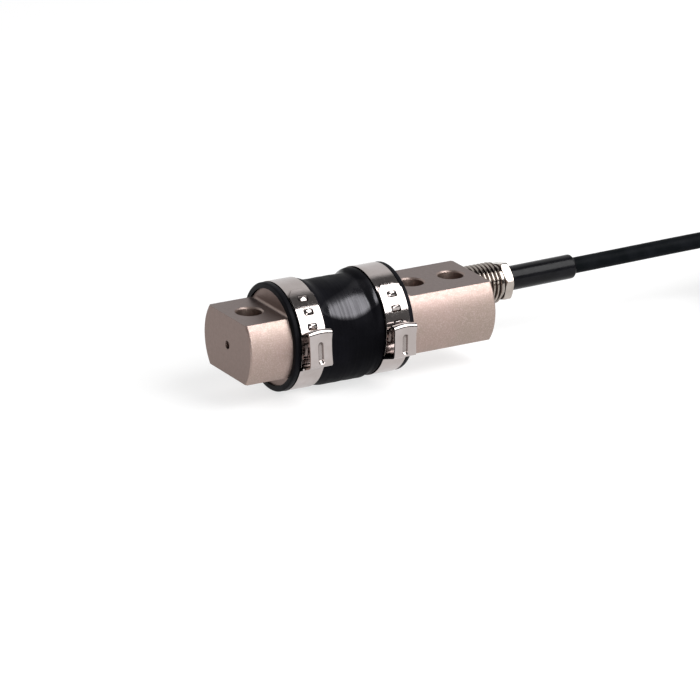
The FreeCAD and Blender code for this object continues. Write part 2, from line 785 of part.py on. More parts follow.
def cable_hank():
    """The outer shape of the stowed turns, with the strand that enters it."""
    wire_r = cable_dia / 2
    outer = fold_r + wire_r + hank_slack
    inner = outer - hank_columns * cable_dia - 2 * hank_slack
    low = strand_low - wire_r - hank_slack
    section = Part.makeBox(outer - inner, hank_run, hank_top - low, Vec(inner, 0, low))
    section = section.makeFillet(wire_r, [e for e in section.Edges if abs(e.Length - hank_run) < 0.001])
    face = min(section.Faces, key=lambda f: f.CenterOfMass.y)
    half = section.fuse(face.revolve(Vec(), Z_AXIS, -180))
    other = half.copy()
    other.rotate(Vec(0, hank_run / 2, 0), Z_AXIS, 180)
    hank = half.fuse(other)
    hank.rotate(Vec(), Z_AXIS, -90)
    hank.translate(Vec(hank_x, hank_y, 0))
    strand = Part.makeCylinder(wire_r, hank_lead_in, lead_points()[-1], X_AXIS)
    return hank.fuse(strand).removeSplitter()


def hank_tie():
    """A soft tie drawn round both runs of the hank and over the cable's end on top of it."""
    wire_r = cable_dia / 2
    near, far = tail_y - wire_r - hank_slack, entry_side + wire_r + hank_slack
    tail_mid_y = tail_y + tail_inset
    low, crest = strand_low - wire_r, tail_level + wire_r
    corners = [(near, low), (far, low), (far, hank_top - wire_r / 2), (far - wire_r / 2, hank_top)]
    corners += [(tail_mid_y + wire_r, crest), (tail_mid_y - wire_r, crest), (near, hank_top)]
    tie_x = hank_x + tie_place * hank_run
    points = [Vec(tie_x - tie_width / 2, y, z) for y, z in corners]
    outline = Part.makePolygon(points + points[:1])
    inside = Part.Face(outline.makeOffset2D(tie_gap))
    around = Part.Face(outline.makeOffset2D(tie_gap + tie_thick))
    return around.cut(inside).extrude(Vec(tie_width, 0, 0))


def tail_sleeve():
    """The short shrink sleeve that ends the jacket."""
    aim = unit(tail_points()[-1] - tail_points()[-2])
    end = tail_points()[-1]
    start = end - aim * tail_sleeve_length
    tube = Part.makeCylinder(tail_sleeve_dia / 2, tail_sleeve_length, start, aim)
    bore = Part.makeCylinder(cable_dia / 2 + tail_sleeve_gap, 3 * tail_sleeve_length, start - aim, aim)
    return tube.cut(bore)


parts = {
    "beam_body": beam_body(),
    "rubber_sleeve": rubber_sleeve(),
    "front_clamp": strip_clamp(front_seat_x, front_tail, front_ear),
    "rear_clamp": strip_clamp(rear_seat_x, rear_tail, rear_ear),
    "near_gauge": gauge(-1),
    "far_gauge": gauge(1),
    "near_coating": coating(-1),
    "far_coating": coating(1),
    "terminal_board": terminal_board(),
    "gland_screw": gland_screw(),
    "cable_seal": cable_seal(),
    "thrust_washer": thrust_washer(),
    "strain_relief": strain_relief(),
    "cable_hank": cable_hank(),
    "hank_tie": hank_tie(),
    "tail_sleeve": tail_sleeve(),
}
for column, label in enumerate(("span", "zero", "creep")):
    parts[f"{label}_resistor"] = resistor(column - 1)
for side, label in ((-1, "near"), (1, "far")):
    for i, points in enumerate(gauge_wire_routes(side)):
        parts[f"{label}_gauge_wire_{i + 1}"] = gauge_wire(points)
for name, points in (("cable_lead", lead_points()), ("cable_tail", tail_points())):
    solid, length, radii = cord(points, cable_dia)
    share = solid.Volume / (math.pi * cable_dia**2 / 4 * length)
    bends = [round(radius) for radius in radii]
    print(name, "length", round(length, 1), "bends", bends, "volume share", round(share, 4))
    parts[name] = solid.cut(parts["cable_hank"]) if name == "cable_tail" else solid
for i, colour in enumerate(core_colours):
    parts[f"inner_core_{colour}"] = inner_core(i)
    parts[f"tail_core_{colour}"], parts[f"tail_tip_{colour}"] = tail_core(i, parts["cable_tail"])
parts["drain_wire"] = drain_wire(parts["cable_tail"])

os.makedirs("parts", exist_ok=True)
for name, shape in parts.items():
    print(name, shape.isValid(), len(shape.Solids), round(shape.Volume, 1))
    shape.exportStep(f"parts/{name}.step")
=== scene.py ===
import json
import math

import bmesh
import bpy
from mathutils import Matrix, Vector


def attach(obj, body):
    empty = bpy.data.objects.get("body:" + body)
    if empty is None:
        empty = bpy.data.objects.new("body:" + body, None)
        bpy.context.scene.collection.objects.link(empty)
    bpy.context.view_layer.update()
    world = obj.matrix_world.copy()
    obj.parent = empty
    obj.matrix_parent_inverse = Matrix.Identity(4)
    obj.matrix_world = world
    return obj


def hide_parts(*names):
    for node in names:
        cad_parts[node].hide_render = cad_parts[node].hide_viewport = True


# The looks of a single-ended beam load cell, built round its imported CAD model.
#
# Lengths are in millimetres and become metres as each mesh is made. The frame is the CAD model's: the origin
# is midway between the fixing holes on the lower mounting face, +X runs towards the cable, and +Z is up.
# Angles round the bar are in degrees, from -Y towards +Z.

MM = 0.001

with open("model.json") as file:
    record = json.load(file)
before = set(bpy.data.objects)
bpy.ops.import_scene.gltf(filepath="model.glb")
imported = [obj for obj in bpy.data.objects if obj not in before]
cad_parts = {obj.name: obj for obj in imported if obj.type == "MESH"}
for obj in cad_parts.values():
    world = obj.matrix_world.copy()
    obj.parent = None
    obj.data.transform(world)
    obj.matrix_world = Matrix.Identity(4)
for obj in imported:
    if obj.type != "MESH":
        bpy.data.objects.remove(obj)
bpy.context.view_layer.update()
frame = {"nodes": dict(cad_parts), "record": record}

# Camera, at the photograph's place and angle
CAMERA_PLACE = (-788.0, -1333.1, 539.9)
CAMERA_AZIMUTH = -29.613
CAMERA_ELEVATION = 19.383
CAMERA_LENS = 257.14
CAMERA_REACH = 50.0  # metres

# Stage: the floor, and a world that is pale behind the object and dim overhead and in front
FLOOR_Z = -8.3  # just under the lowest piece
FLOOR_RADIUS = 6.0  # metres
FLOOR_GREY = 0.38
FLOOR_LIFT = 0.68  # the white that the floor adds where it is seen
WORLD_PALE, WORLD_DIM = 0.92, 0.13
BACK_TOP = 0.38  # tangent of the angle from overhead to the pale part's upper edge
BACK_BLEND = (-0.1, 0.2)  # where the change from dim to pale starts and ends, across that edge

# Lamps: direction from the bar, distance and size in metres, and power in watts
LAMP_TARGET_X = -30.0
LAMPS = {
    "key": ((0.466, -0.52, 0.715), 1.5, (1.1, 1.15), 24.0),
    "low": ((0.0, -0.98, 0.2), 1.5, (0.8, 0.5), 9.0),
    "fill": ((-0.75, -0.62, 0.35), 1.6, (1.2, 0.9), 0.8),
}

# Values that repeat the CAD model's
AXIS_Z = 10.0
BAR_R = 16.0
CABLE_DIA = 5.5
ENTRY = (8.0, 11.5)  # Y and Z of the cable entry's axis
SLEEVE_START, SLEEVE_END = -60.2, -16.4
SLEEVE_MIDDLE = (SLEEVE_START + SLEEVE_END) / 2
FRONT_SEAT_X, REAR_SEAT_X = -58.2, -27.15
SEAT_WIDTH = 9.0
THREAD_START, THREAD_END = 12.5, 28.7

# Cable: the CAD model's route, and the turns of its hank between the lead and the tail
LEAD = [
    (14.0, 8.0, 11.5),
    (63.995, 8.0, 12.2155),
    (110.0, 8.3, 12.85),
    (121.2, 8.0, 12.85),
    (126.2, 8.0, 12.85),
]
TAIL = [(217.25, -36.0, 18.55), (198.275, -33.5, 25.0), (166.1, -33.5, 25.0)]
HANK_START = (143.0, -14.0)  # X of the near fold's middle, and Y of both folds' middles
HANK_RUN = 82.5
FOLD_RADII = (22.0, 16.5)  # of the outer and the inner column
FOLD_STEP = 20  # degrees between the points of a fold
STRAND_LOW, LAYER_RISE = -4.25, 5.7
# Columns and layers that the cable fills, one after the other
HANK_SLOTS = [(0, 3), (0, 2), (0, 1), (0, 0), (1, 0), (1, 1), (1, 2), (1, 3), (1, 4), (0, 4)]
WHOLE_TURNS = 9
CROSSING = 0.12  # of a turn, in which the cable passes from one slot to the next

# Rubber sleeve, with the CAD model's radii and a softer front lip
RIM_R, SEAT_R, LIP_R, MIDDLE_R = 17.9, 17.4, 17.65, 17.25
RIM_ROUND = 0.5
SEAT_EDGE = ((0.35, 0.0), (0.1, 0.1), (0.0, 0.3))  # a rim's slope to its seat: out from it, and below the rim
BORE_GAP, LEAST_WALL = 0.02, 0.25  # from the bar to the bore, and to the outside where it is lowest
FRONT_LIP, FRONT_SLOPE = 0.1, 4.4  # width of the lip, and of the slope from it to the middle
REAR_LIP, REAR_SLOPE = 1.6, 2.2
REAR_BULGE = 0.12
MIDDLE_SAG = 0.95
RIM_WIDTH, RIM_FADE = 2.0, 0.4  # of the rims' own gloss
SLEEVE_STEP, SEAT_STEP, BORE_STEP = 0.35, 2.0, 3.0  # between the mesh's rows in the middle, seats and bore
SLEEVE_SIDES, SCREW_SIDES = 144, 120

# Rubber's highlight band: a painted highlight, its specular level raised only where the key lamp's reflection
# falls
HIGHLIGHT_X, HIGHLIGHT_REACH = -38.2, 11.5  # its middle and half length
HIGHLIGHT_Z, HIGHLIGHT_TOP = 16.6, 23.0  # its lower and upper edges there
HIGHLIGHT_RISE, HIGHLIGHT_SLANT = 4.5, 2.5  # how far the edges rise from there over the half length
HIGHLIGHT_FADE = 1.5
DULL_LEVEL, HIGHLIGHT_LEVEL, RIM_LEVEL = 0.02, 0.55, 0.06  # specular

# Cable entry's screw, with the CAD model's sizes and the thread that only this scene has
THREAD_R, THREAD_DEPTH, THREAD_PITCH = 7.0, 0.8, 1.5
THREAD_EASE, THREAD_CHAMFER = 0.03, 0.6
THREAD_CREST, THREAD_ROOT = 0.12, 0.92  # shares of half a pitch, where a flank starts and ends
THREAD_FOOT = 0.75  # from the crests down to where the thread's end meets the neck
THREAD_CUTS = 14  # of the mesh in a pitch
FACE_X = 15.5  # the beam's end face, where the thread comes out
RUN_IN, RUN_OUT = (-0.5, 0.8), (-0.05, -1.0)  # from the face and from the end to where it starts and is full
NECK_R, NECK_LENGTH, NECK_FILLET = 5.8, 1.4, 0.15
HEX_FLATS, HEX_THICK, HEX_CHAMFER, HEX_SLOPE, HEX_TURN = 12.0, 3.0, 0.35, 2.0, 14.0
HEX_BLUNT = 0.06
HEX_CUTS = (0.001, 0.12, 0.25, 0.4)  # of the mesh, from each face
SCREW_BORE, BORE_CHAMFER = 3.1, 0.2
SEAL_POCKET = (4.8, 21.5)  # radius of the bore's wide part, and the X where it ends

# Strip clamps, near the CAD model's sizes, with wider windows and a narrower, deeper channel in the ear.
# Lengths round the bar are measured along the inner layer's middle line, from -Y upwards.
STRIP = 0.6
CLAMP_WIDTH = 8.6
BAND_MID, TAIL_MID = 17.7, 18.35  # radii of the inner and the outer layer's middle lines
EAR_RISE = 5.5  # of the plate's corners above the inner layer
ROOT_LEAD, FOOT_LEAD = 0.8, 1.25  # straight runs into the ear's root and out of its foot
EAR_RAMP, TONGUE_REACH = 3.85, 1.25  # from the plate down to the foot, and of the inner layer under the ear
ROOT_BEND, EAR_BEND, FOOT_BEND = 0.5, 0.9, 1.6
WINDOW = (2.2, 3.5, 0.6)  # length, width and corner radius
FIRST_WINDOW, WINDOW_PITCH, WINDOWS = 4.2, 4.7, 3
TAIL_CUT = (2.6, 2.3)  # along and across
LUG = (1.75, 2.9, 1.1)  # length, width and height of a hook
# A hook's outline in shares of its length and height, and the cuts across it in shares of its width
LUG_FACE = [(-0.5, -0.15), (-0.5, 0.85), (-0.42, 0.98), (-0.2, 0.95)]
LUG_SLOPE = [(0.15, 0.72), (0.42, 0.45), (0.5, -0.15)]
LUG_CUTS = (-0.5, -0.46, -0.25, 0.0, 0.25, 0.46, 0.5)
LUG_CROWN = 0.35
BEAD = (7.6, 2.3, 1.0)  # length, width and depth of the channel in the ear
BEAD_WALL = 0.5  # share of the channel's half width over which it deepens
BEAD_DROP, BEAD_RAMP = 0.6, 0.73  # of its middle below the plate's, and the slope of its lower end
EAR_WAIST = 0.38  # how far the ear's sides draw in
LIP_ARCH, LIP_CURL, LIP_REACH = 0.5, 0.25, 3 * EAR_BEND  # of the ear's upper edge, along the plate and off it
STRIP_STEP, BAND_STEP, ACROSS_STEP = 0.22, 1.0, 0.24  # cuts of the tail and ear, of the band, and across both
STRIP_ROUND, LUG_ROUND = 0.07, 0.06
SEAT_SIDE = 0.2  # from a seat's edge to its clamp
# X of each clamp's edge, and the lengths at its tail's end and at its ear's root, top and bottom
CLAMPS = {
    "front_clamp": {"x": FRONT_SEAT_X + SEAT_SIDE, "tail": 21.0, "ear": (5.1, 5.8, -3.1)},
    "rear_clamp": {"x": REAR_SEAT_X + SEAT_SIDE, "tail": 17.2, "ear": (1.7, 3.7, -4.75)},
}

# The front clamp's shading leans by this slope from its ear's root upwards
TAIL_LEAN, EAR_ROOT_Z = 0.2, 16.3
LEAN_Y = (-19.4, -18.4)  # from here to there the lean sets in, so that the ear's plate has none

# Noise: most of a field lies between these, and how rough its finer layers are
NOISE_LOW, NOISE_HIGH = 0.3, 0.7
NOISE_ROUGH = 0.55
EDGE_SAMPLES, GAP_SAMPLES = 6, 8

# Finishes of the small pieces: two tones, the roughness and, where they aren't the usual ones, the metal, the
# grain's features to a metre and its relief
SMALL_FINISHES = {
    "seal_rubber": ((0.02, 0.02, 0.02), (0.03, 0.03, 0.03), 0.55),
    "washer_steel": ((0.60, 0.60, 0.60), (0.5, 0.5, 0.5), 0.35, 1.0),
    "gauge_film": ((0.62, 0.34, 0.08), (0.52, 0.27, 0.06), 0.35),
    "sealant": ((0.72, 0.71, 0.66), (0.66, 0.65, 0.60), 0.4, 0.0, 700.0, 0.05),
    "board": ((0.04, 0.20, 0.07), (0.05, 0.26, 0.09), 0.4),
    "resistor": ((0.03, 0.03, 0.035), (0.05, 0.05, 0.05), 0.5),
    "enamelled_copper": ((0.55, 0.22, 0.10), (0.5, 0.19, 0.08), 0.3, 1.0),
    "core_red": ((0.42, 0.012, 0.012), (0.36, 0.01, 0.01), 0.35),
    "core_black": ((0.012, 0.012, 0.012), (0.02, 0.02, 0.02), 0.35),
    "core_green": ((0.012, 0.20, 0.05), (0.01, 0.17, 0.045), 0.35),
    "core_white": ((0.72, 0.72, 0.70), (0.66, 0.66, 0.64), 0.35),
    "tinned_copper": ((0.66, 0.65, 0.63), (0.5, 0.49, 0.47), 0.35, 1.0, 2500.0, 0.05),
    "tie": ((0.014, 0.014, 0.014), (0.026, 0.026, 0.026), 0.75, 0.0, 2600.0, 0.12),
}


def piece(name, verts, faces, material):
    """A smooth mesh object from points in millimetres, riding on the part's body."""
    mesh = bpy.data.meshes.new(name)
    mesh.from_pydata([Vector(v) * MM for v in verts], [], faces)
    mesh.validate()
    bm = bmesh.new()
    bm.from_mesh(mesh)
    bmesh.ops.recalc_face_normals(bm, faces=bm.faces)
    bm.to_mesh(mesh)
    bm.free()
    for face in mesh.polygons:
        face.use_smooth = True
    obj = bpy.data.objects.new(name, mesh)
    bpy.context.collection.objects.link(obj)
    mesh.materials.append(material)
    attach(obj, "root")
    return obj


def sharpen(obj, degrees=35.0):
    """Smooth shading that keeps edges sharper than an angle."""
    obj.data.set_sharp_from_angle(angle=math.radians(degrees))


def bevel(obj, width):
    """Small rounds on every sharp edge."""
    modifier = obj.modifiers.new("edges", "BEVEL")
    modifier.width = width * MM
    modifier.segments = 2
    modifier.limit_method = "ANGLE"
    modifier.angle_limit = math.radians(40.0)


def grid_faces(rows, columns, close_rows=False, close_columns=False):
    """Quads between the points of a grid, given row by row."""
    faces = []
    for i in range(rows if close_rows else rows - 1):
        for j in range(columns if close_columns else columns - 1):
            a, b = i * columns + j, i * columns + (j + 1) % columns
            c, d = ((i + 1) % rows) * columns + (j + 1) % columns, ((i + 1) % rows) * columns + j
            faces.append((a, b, c, d))
    return faces


def smooth_step(low, high, value):
    """A share that rises smoothly from 0 at one value to 1 at another."""
    share = min(1.0, max(0.0, (value - low) / (high - low)))
    return share * share * (3 - 2 * share)


def polar(radius, angle, x, y=0.0, z=AXIS_Z):
    """The point at an angle round an axis along X, from -Y towards +Z."""
    turn = math.radians(angle)
    return (x, y - radius * math.cos(turn), z + radius * math.sin(turn))


class Path:
    """Straight runs and arcs in the plane across the bar, walked by their length; -Y and +Z are its axes."""

    def __init__(self):
        self.parts = []
        self.length = 0.0

    def add(self, length, walk, step):
        self.parts.append((self.length, length, walk, step))
        self.length += length

    def line(self, start, end):
        aim = (end - start).normalized()
        self.add((end - start).length, lambda along: (start + aim * along, aim), STRIP_STEP)

    def arc(self, centre, radius, start, turn, step):
        """An arc from one angle by a signed turn, in radians."""
        sign = 1 if turn > 0 else -1

        def walk(along):
            angle = start + sign * along / radius
            out = Vector((math.cos(angle), math.sin(angle)))
            return centre + out * radius, Vector((-out.y, out.x)) * sign

        self.add(abs(turn) * radius, walk, step)

    def bends(self, points, radii):
        """Straight runs with a round of its own radius at each corner; the length at each round's end."""
        marks, start = [], points[0]
        for before, corner, after, radius in zip(points, points[1:], points[2:], radii):
            back, ahead = (before - corner).normalized(), (after - corner).normalized()
            half = (math.pi - back.angle(ahead)) / 2
            centre = corner + (back + ahead).normalized() * (radius / math.cos(half))
            entry = corner + back * radius * math.tan(half)
            self.line(start, entry)
            first = entry - centre
            side = 1 if first.x * -back.y - first.y * -back.x > 0 else -1
            self.arc(centre, radius, math.atan2(first.y, first.x), side * 2 * half, radius * 0.2)
            start = corner + ahead * radius * math.tan(half)
            marks.append(self.length)
        self.line(start, points[-1])
        return marks

    def at(self, along):
        """Point, direction and outward normal."""
        for start, length, walk, _ in self.parts:
            if along <= start + length or start + length == self.length:
                point, aim = walk(along - start)
                return point, aim, Vector((-aim.y, aim.x))

    def stations(self, keys):
        """Lengths to cut the mesh at: evenly in each part, and at the key lengths."""
        cuts = set()
        for start, length, _, step in self.parts:
            count = max(1, math.ceil(length / step))
            cuts.update(start + length * i / count for i in range(count + 1))
        clear = [c for c in cuts if all(abs(c - key) > 0.4 * STRIP_STEP for key in keys)]
        return sorted(clear + list(keys))


def clamp_path(tail, ear):
    """The clamp's middle line from its tail's end round to its tongue, with the lengths of its features."""

    def turn_of(length):
        return math.degrees(length / BAND_MID)

    def spot(radius, angle):
        return Vector((math.cos(math.radians(angle)), math.sin(math.radians(angle)))) * radius

    tail, root, top, bottom = (turn_of(length) for length in (tail, *ear))
    foot = bottom - turn_of(EAR_RAMP)
    leaving, landing = turn_of(ROOT_LEAD), turn_of(FOOT_LEAD)
    middle = Vector((0.0, 0.0))
    path = Path()
    path.arc(middle, TAIL_MID, math.radians(tail), math.radians(root + leaving - tail), STRIP_STEP)
    plate_r = BAND_MID + EAR_RISE
    corners = [
        spot(TAIL_MID, root + leaving),
        spot(TAIL_MID / math.cos(math.radians(leaving)), root),
        spot(plate_r, top),
        spot(plate_r, bottom),
        spot(BAND_MID / math.cos(math.radians(landing)), foot),
        spot(BAND_MID, foot - landing),
    ]
    marks = path.bends(corners, (ROOT_BEND, EAR_BEND, EAR_BEND, FOOT_BEND))
    sweep = turn_of(TONGUE_REACH) + landing - 360
    path.arc(middle, BAND_MID, math.radians(foot - landing), math.radians(sweep), BAND_STEP)
    windows = [TAIL_MID / BAND_MID * (FIRST_WINDOW + i * WINDOW_PITCH) for i in range(WINDOWS)]
    return path, marks, windows


def obround(along, across, length, width):
    """Distance outside a slot's outline; negative inside it."""
    run = (length - width) / 2
    return math.hypot(max(abs(along) - run, 0.0), across) - width / 2


def ear_shift(along, across, marks):
    """How the ear's pressing moves a point: inwards at its sides, along the plate, and off its surface."""
    _, plate_start, plate_end, _ = marks
    middle = (plate_start + plate_end) / 2
    half = (plate_end - plate_start) / 2
    reach = abs(along - middle) / (half + 2 * EAR_BEND)
    waist = EAR_WAIST * max(0.0, 1 - reach**2)
    lip = max(0.0, 1 - (abs(along - plate_start + EAR_BEND) / LIP_REACH) ** 2)
    crown = 1 - (2 * across / CLAMP_WIDTH) ** 2
    down = along - middle - BEAD_DROP
    inside = smooth_step(0.0, BEAD_WALL, -2 * obround(down, across, BEAD[0], BEAD[1]) / BEAD[1])
    depth = min(BEAD[2], max(0.0, BEAD[0] / 2 - down) * BEAD_RAMP)
    return waist, -LIP_ARCH * lip * crown, LIP_CURL * lip - depth * inside


def past_window(along, across, windows):
    """The nearest window's middle, and how far a point lies past the middles of its corners' rounds."""
    length, width, corner = WINDOW
    near = min(windows, key=lambda window: abs(along - window))
    return near, abs(along - near) - length / 2 + corner, abs(across) - width / 2 + corner


def in_window(along, across, windows):
    """Whether a point lies in a window."""
    _, past_along, past_across = past_window(along, across, windows)
    outside = math.hypot(max(past_along, 0.0), max(past_across, 0.0))
    return outside + min(max(past_along, past_across), 0.0) < WINDOW[2]


def round_corner(along, across, windows):
    """A point of a window's edge, moved onto the corner's round where it is near one."""
    length, width, corner = WINDOW
    near, past_along, past_across = past_window(along, across, windows)
    reach = math.hypot(past_along, past_across)
    if past_along > 0 and past_across > 0 and reach < 2 * corner:
        scale = corner / reach
        along = near + math.copysign(length / 2 - corner + past_along * scale, along - near)
        across = math.copysign(width / 2 - corner + past_across * scale, across)
    return along, across


def strip_cuts(path, windows):
    """The lengths and the places across where the strip's mesh is cut; the windows' edges are among them."""
    half, half_window = CLAMP_WIDTH / 2, WINDOW[1] / 2
    rows = path.stations([TAIL_CUT[0]] + [w + side * WINDOW[0] / 2 for w in windows for side in (-1, 1)])
    count = round(half / ACROSS_STEP)
    columns = [half * i / count for i in range(-count, count + 1)]
    edge = min(range(len(columns)), key=lambda j: abs(columns[j] - half_window))
    columns[edge], columns[-1 - edge] = half_window, -half_window
    return rows, columns


def strip_clamp(name, x0, tail, ear, material):
    """One clamp from one strip: windows and cut corners in the flat, then the bends and the pressed ear."""
    path, marks, windows = clamp_path(tail, ear)
    rows, columns = strip_cuts(path, windows)
    width = len(columns)
    kept = []
    for a, b, c, d in grid_faces(len(rows), width):
        along = (rows[a // width] + rows[c // width]) / 2
        across = (columns[a % width] + columns[c % width]) / 2
        if not in_window(along, across, windows):
            kept.append((a, b, c, d))
    sides = [pair for a, b, c, d in kept for pair in ((a, b), (b, c), (c, d), (d, a))]
    known = set(sides)
    rim = [(p, q) for p, q in sides if (q, p) not in known]
    on_rim = {v for pair in rim for v in pair}
    used = sorted({v for face in kept for v in face})
    flat = {v: (rows[v // width], columns[v % width]) for v in used}
    flat.update({v: round_corner(*flat[v], windows) for v in on_rim})

    half = CLAMP_WIDTH / 2
    plate_aim = path.at((marks[1] + marks[2]) / 2)[1]
    verts, place = [], {}
    for side in (1, -1):
        for v in used:
            along, across = flat[v]
            waist, slide, out = ear_shift(along, across, marks)
            slant = max(0.0, 1 - along / TAIL_CUT[0]) * TAIL_CUT[1]
            across *= 1 - (waist + slant) / half
            point, _, normal = path.at(along)
            point = point + normal * (side * STRIP / 2 + out) + plate_aim * slide
            place[(v, side)] = len(verts)
            verts.append((x0 + half + across, -point.x, AXIS_Z + point.y))
    faces = [tuple(place[(v, 1)] for v in face) for face in kept]
    faces += [tuple(place[(v, -1)] for v in reversed(face)) for face in kept]
    faces += [(place[(q, 1)], place[(p, 1)], place[(p, -1)], place[(q, -1)]) for p, q in rim]
    obj = piece(name, verts, faces, material)
    for i, window in enumerate(windows):
        hook(f"{name}_hook_{i + 1}", x0 + half, path, window, material)
    sharpen(obj)
    bevel(obj, STRIP_ROUND)
    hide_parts(name)


def lathe(name, rows, columns, material, centre=(0.0, AXIS_Z)):
    """A closed ring of rows round an axis along X; each row has an X and a radius or a rule for it."""
    verts = []
    for x, radius in rows:
        for j in range(columns):
            angle = 360.0 * j / columns
            reach = radius(angle) if callable(radius) else radius
            verts.append(polar(reach, angle, x, *centre))
    faces = grid_faces(len(rows), columns, close_rows=True, close_columns=True)
    return piece(name, verts, faces, material)


def spaced(start, end, step):
    """Even places from a start up to, but without, an end, no further apart than a step."""
    count = max(1, math.ceil(abs(end - start) / step))
    return [start + (end - start) * i / count for i in range(count)]


def sleeve_radius(x):
    """The sleeve's outer radius at an X between its seats, and the share of the sag that it has there."""
    from_front, from_rear = x - FRONT_SEAT_X - SEAT_WIDTH, REAR_SEAT_X - x
    share = smooth_step(FRONT_LIP, FRONT_LIP + FRONT_SLOPE, from_front)
    share *= smooth_step(REAR_LIP, REAR_LIP + REAR_SLOPE, from_rear)
    bulge = REAR_BULGE * math.sin(math.pi * min(1.0, from_rear / REAR_LIP))
    return LIP_R + (MIDDLE_R - LIP_R) * share + bulge, share


def sleeve_surface(x):
    """A row of the sleeve's middle: its X, and its radius at an angle, with the sag and the ripples."""
    radius, sagging = sleeve_radius(x)

    def reach(angle):
        turn = math.radians(angle)
        ripple = 0.05 * math.sin(3 * turn + 0.22 * x) + 0.035 * math.sin(7 * turn - 0.5 * x + 1.0)
        ripple += 0.03 * math.sin(1.3 * x) * math.sin(2 * turn + 0.6)
        sag = -MIDDLE_SAG * math.sin(turn)
        return max(BAR_R + LEAST_WALL, radius + sagging * (sag + ripple))

    return x, reach


def sleeve_rim(face, seat, outward):
    """Rows of one rim, from the bore over its rounded edge to the clamp's seat."""
    rim = [(face, BAR_R + BORE_GAP), (face, RIM_R - RIM_ROUND)]
    for turn in (0.4, 0.8, 1.2):
        across, up = 1 - math.cos(turn), 1 - math.sin(turn)
        rim.append((face - outward * RIM_ROUND * across, RIM_R - RIM_ROUND * up))
    rim += [(face - outward * RIM_ROUND, RIM_R), ((face + seat) / 2, RIM_R)]
    rim += [(seat + outward * out, RIM_R - down) for out, down in SEAT_EDGE]
    return rim + [(seat, SEAT_R)]


def seat_rows(x):
    """Rows of the seat that starts at an X."""
    return [(place, SEAT_R) for place in spaced(x + 0.4, x + SEAT_WIDTH - 0.3, SEAT_STEP)]


def rubber_sleeve(material):
    """The sleeve: rounded rims, the seats under the clamps, low lips, and a middle that sags and ripples."""
    middle_start, middle_end = FRONT_SEAT_X + SEAT_WIDTH, REAR_SEAT_X
    rows = sleeve_rim(SLEEVE_START, FRONT_SEAT_X, -1)
    rows += seat_rows(FRONT_SEAT_X)
    rows.append((middle_start, SEAT_R))
    rows += [sleeve_surface(x) for x in spaced(middle_start + 0.05, middle_end - 0.05, SLEEVE_STEP)]
    rows.append((middle_end, SEAT_R))
    rows += seat_rows(REAR_SEAT_X)
    rows += sleeve_rim(SLEEVE_END, REAR_SEAT_X + SEAT_WIDTH, 1)[::-1]
    rows += [(x, BAR_R + BORE_GAP) for x in spaced(SLEEVE_END - 2.0, SLEEVE_START + 1.0, BORE_STEP)]
    obj = lathe("sleeve", rows, SLEEVE_SIDES, material)
    sharpen(obj, degrees=50)
    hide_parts("rubber_sleeve")


def thread_radius(x, angle):
    """A rounded V thread that runs out at both ends of its length."""
    phase = (x - THREAD_START) / THREAD_PITCH - angle / 360.0
    share = abs(2 * (phase % 1.0) - 1)
    depth = THREAD_DEPTH * smooth_step(THREAD_CREST, THREAD_ROOT, share)
    start = smooth_step(FACE_X + RUN_IN[0], FACE_X + RUN_IN[1], x)
    end = smooth_step(THREAD_END + RUN_OUT[0], THREAD_END + RUN_OUT[1], x)
    chamfer = THREAD_CHAMFER * (1 - smooth_step(THREAD_END, THREAD_END - THREAD_CHAMFER, x))
    return THREAD_R - THREAD_EASE - max(depth * start * end, chamfer)


def hex_radius(x, angle):
    """A hexagon whose corners are taken off by a cone from each face."""
    corner_r = HEX_FLATS / math.sqrt(3)
    turned = (angle - HEX_TURN) % 60.0 - 30.0
    flat = HEX_FLATS / 2 / math.cos(math.radians(turned))
    hex_x = THREAD_END + NECK_LENGTH
    from_face = min(x - hex_x, hex_x + HEX_THICK - x)
    return min(flat, corner_r - 2 * HEX_CHAMFER + HEX_SLOPE * from_face, corner_r - HEX_BLUNT)


def gland_screw(material):
    """The hollow screw: a helical thread, a relieved neck, a hexagon and the bore."""

    def at(rule, x):
        return x, lambda angle: rule(x, angle)

    hex_x, hex_end = THREAD_END + NECK_LENGTH, THREAD_END + NECK_LENGTH + HEX_THICK
    pocket_r, pocket_end = SEAL_POCKET
    rows = [
        (THREAD_START, THREAD_R - THREAD_CHAMFER),
        (THREAD_START + THREAD_CHAMFER, THREAD_R - THREAD_EASE),
    ]
    rows += [at(thread_radius, x) for x in spaced(FACE_X - 1.0, THREAD_END, THREAD_PITCH / THREAD_CUTS)]
    rows += [
        (THREAD_END, THREAD_R - THREAD_FOOT),
        (THREAD_END + NECK_FILLET, NECK_R + NECK_FILLET),
        (THREAD_END + 2 * NECK_FILLET, NECK_R),
        (hex_x - 0.2, NECK_R),
        (hex_x, NECK_R - NECK_FILLET),
    ]
    rows += [at(hex_radius, hex_x + x) for x in HEX_CUTS]
    rows += [at(hex_radius, x) for x in spaced(hex_x + 0.6, hex_end - HEX_CUTS[-1], 0.45)]
    rows += [at(hex_radius, hex_end - x) for x in reversed(HEX_CUTS)]
    rows += [
        (hex_end, SCREW_BORE + 0.9),
        (hex_end, SCREW_BORE + BORE_CHAMFER),
        (hex_end - BORE_CHAMFER, SCREW_BORE),
        (pocket_end, SCREW_BORE),
        (pocket_end, pocket_r),
        (THREAD_START, pocket_r),
    ]
    obj = lathe("screw", rows, SCREW_SIDES, material, ENTRY)
    sharpen(obj, degrees=32)
    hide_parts("gland_screw")


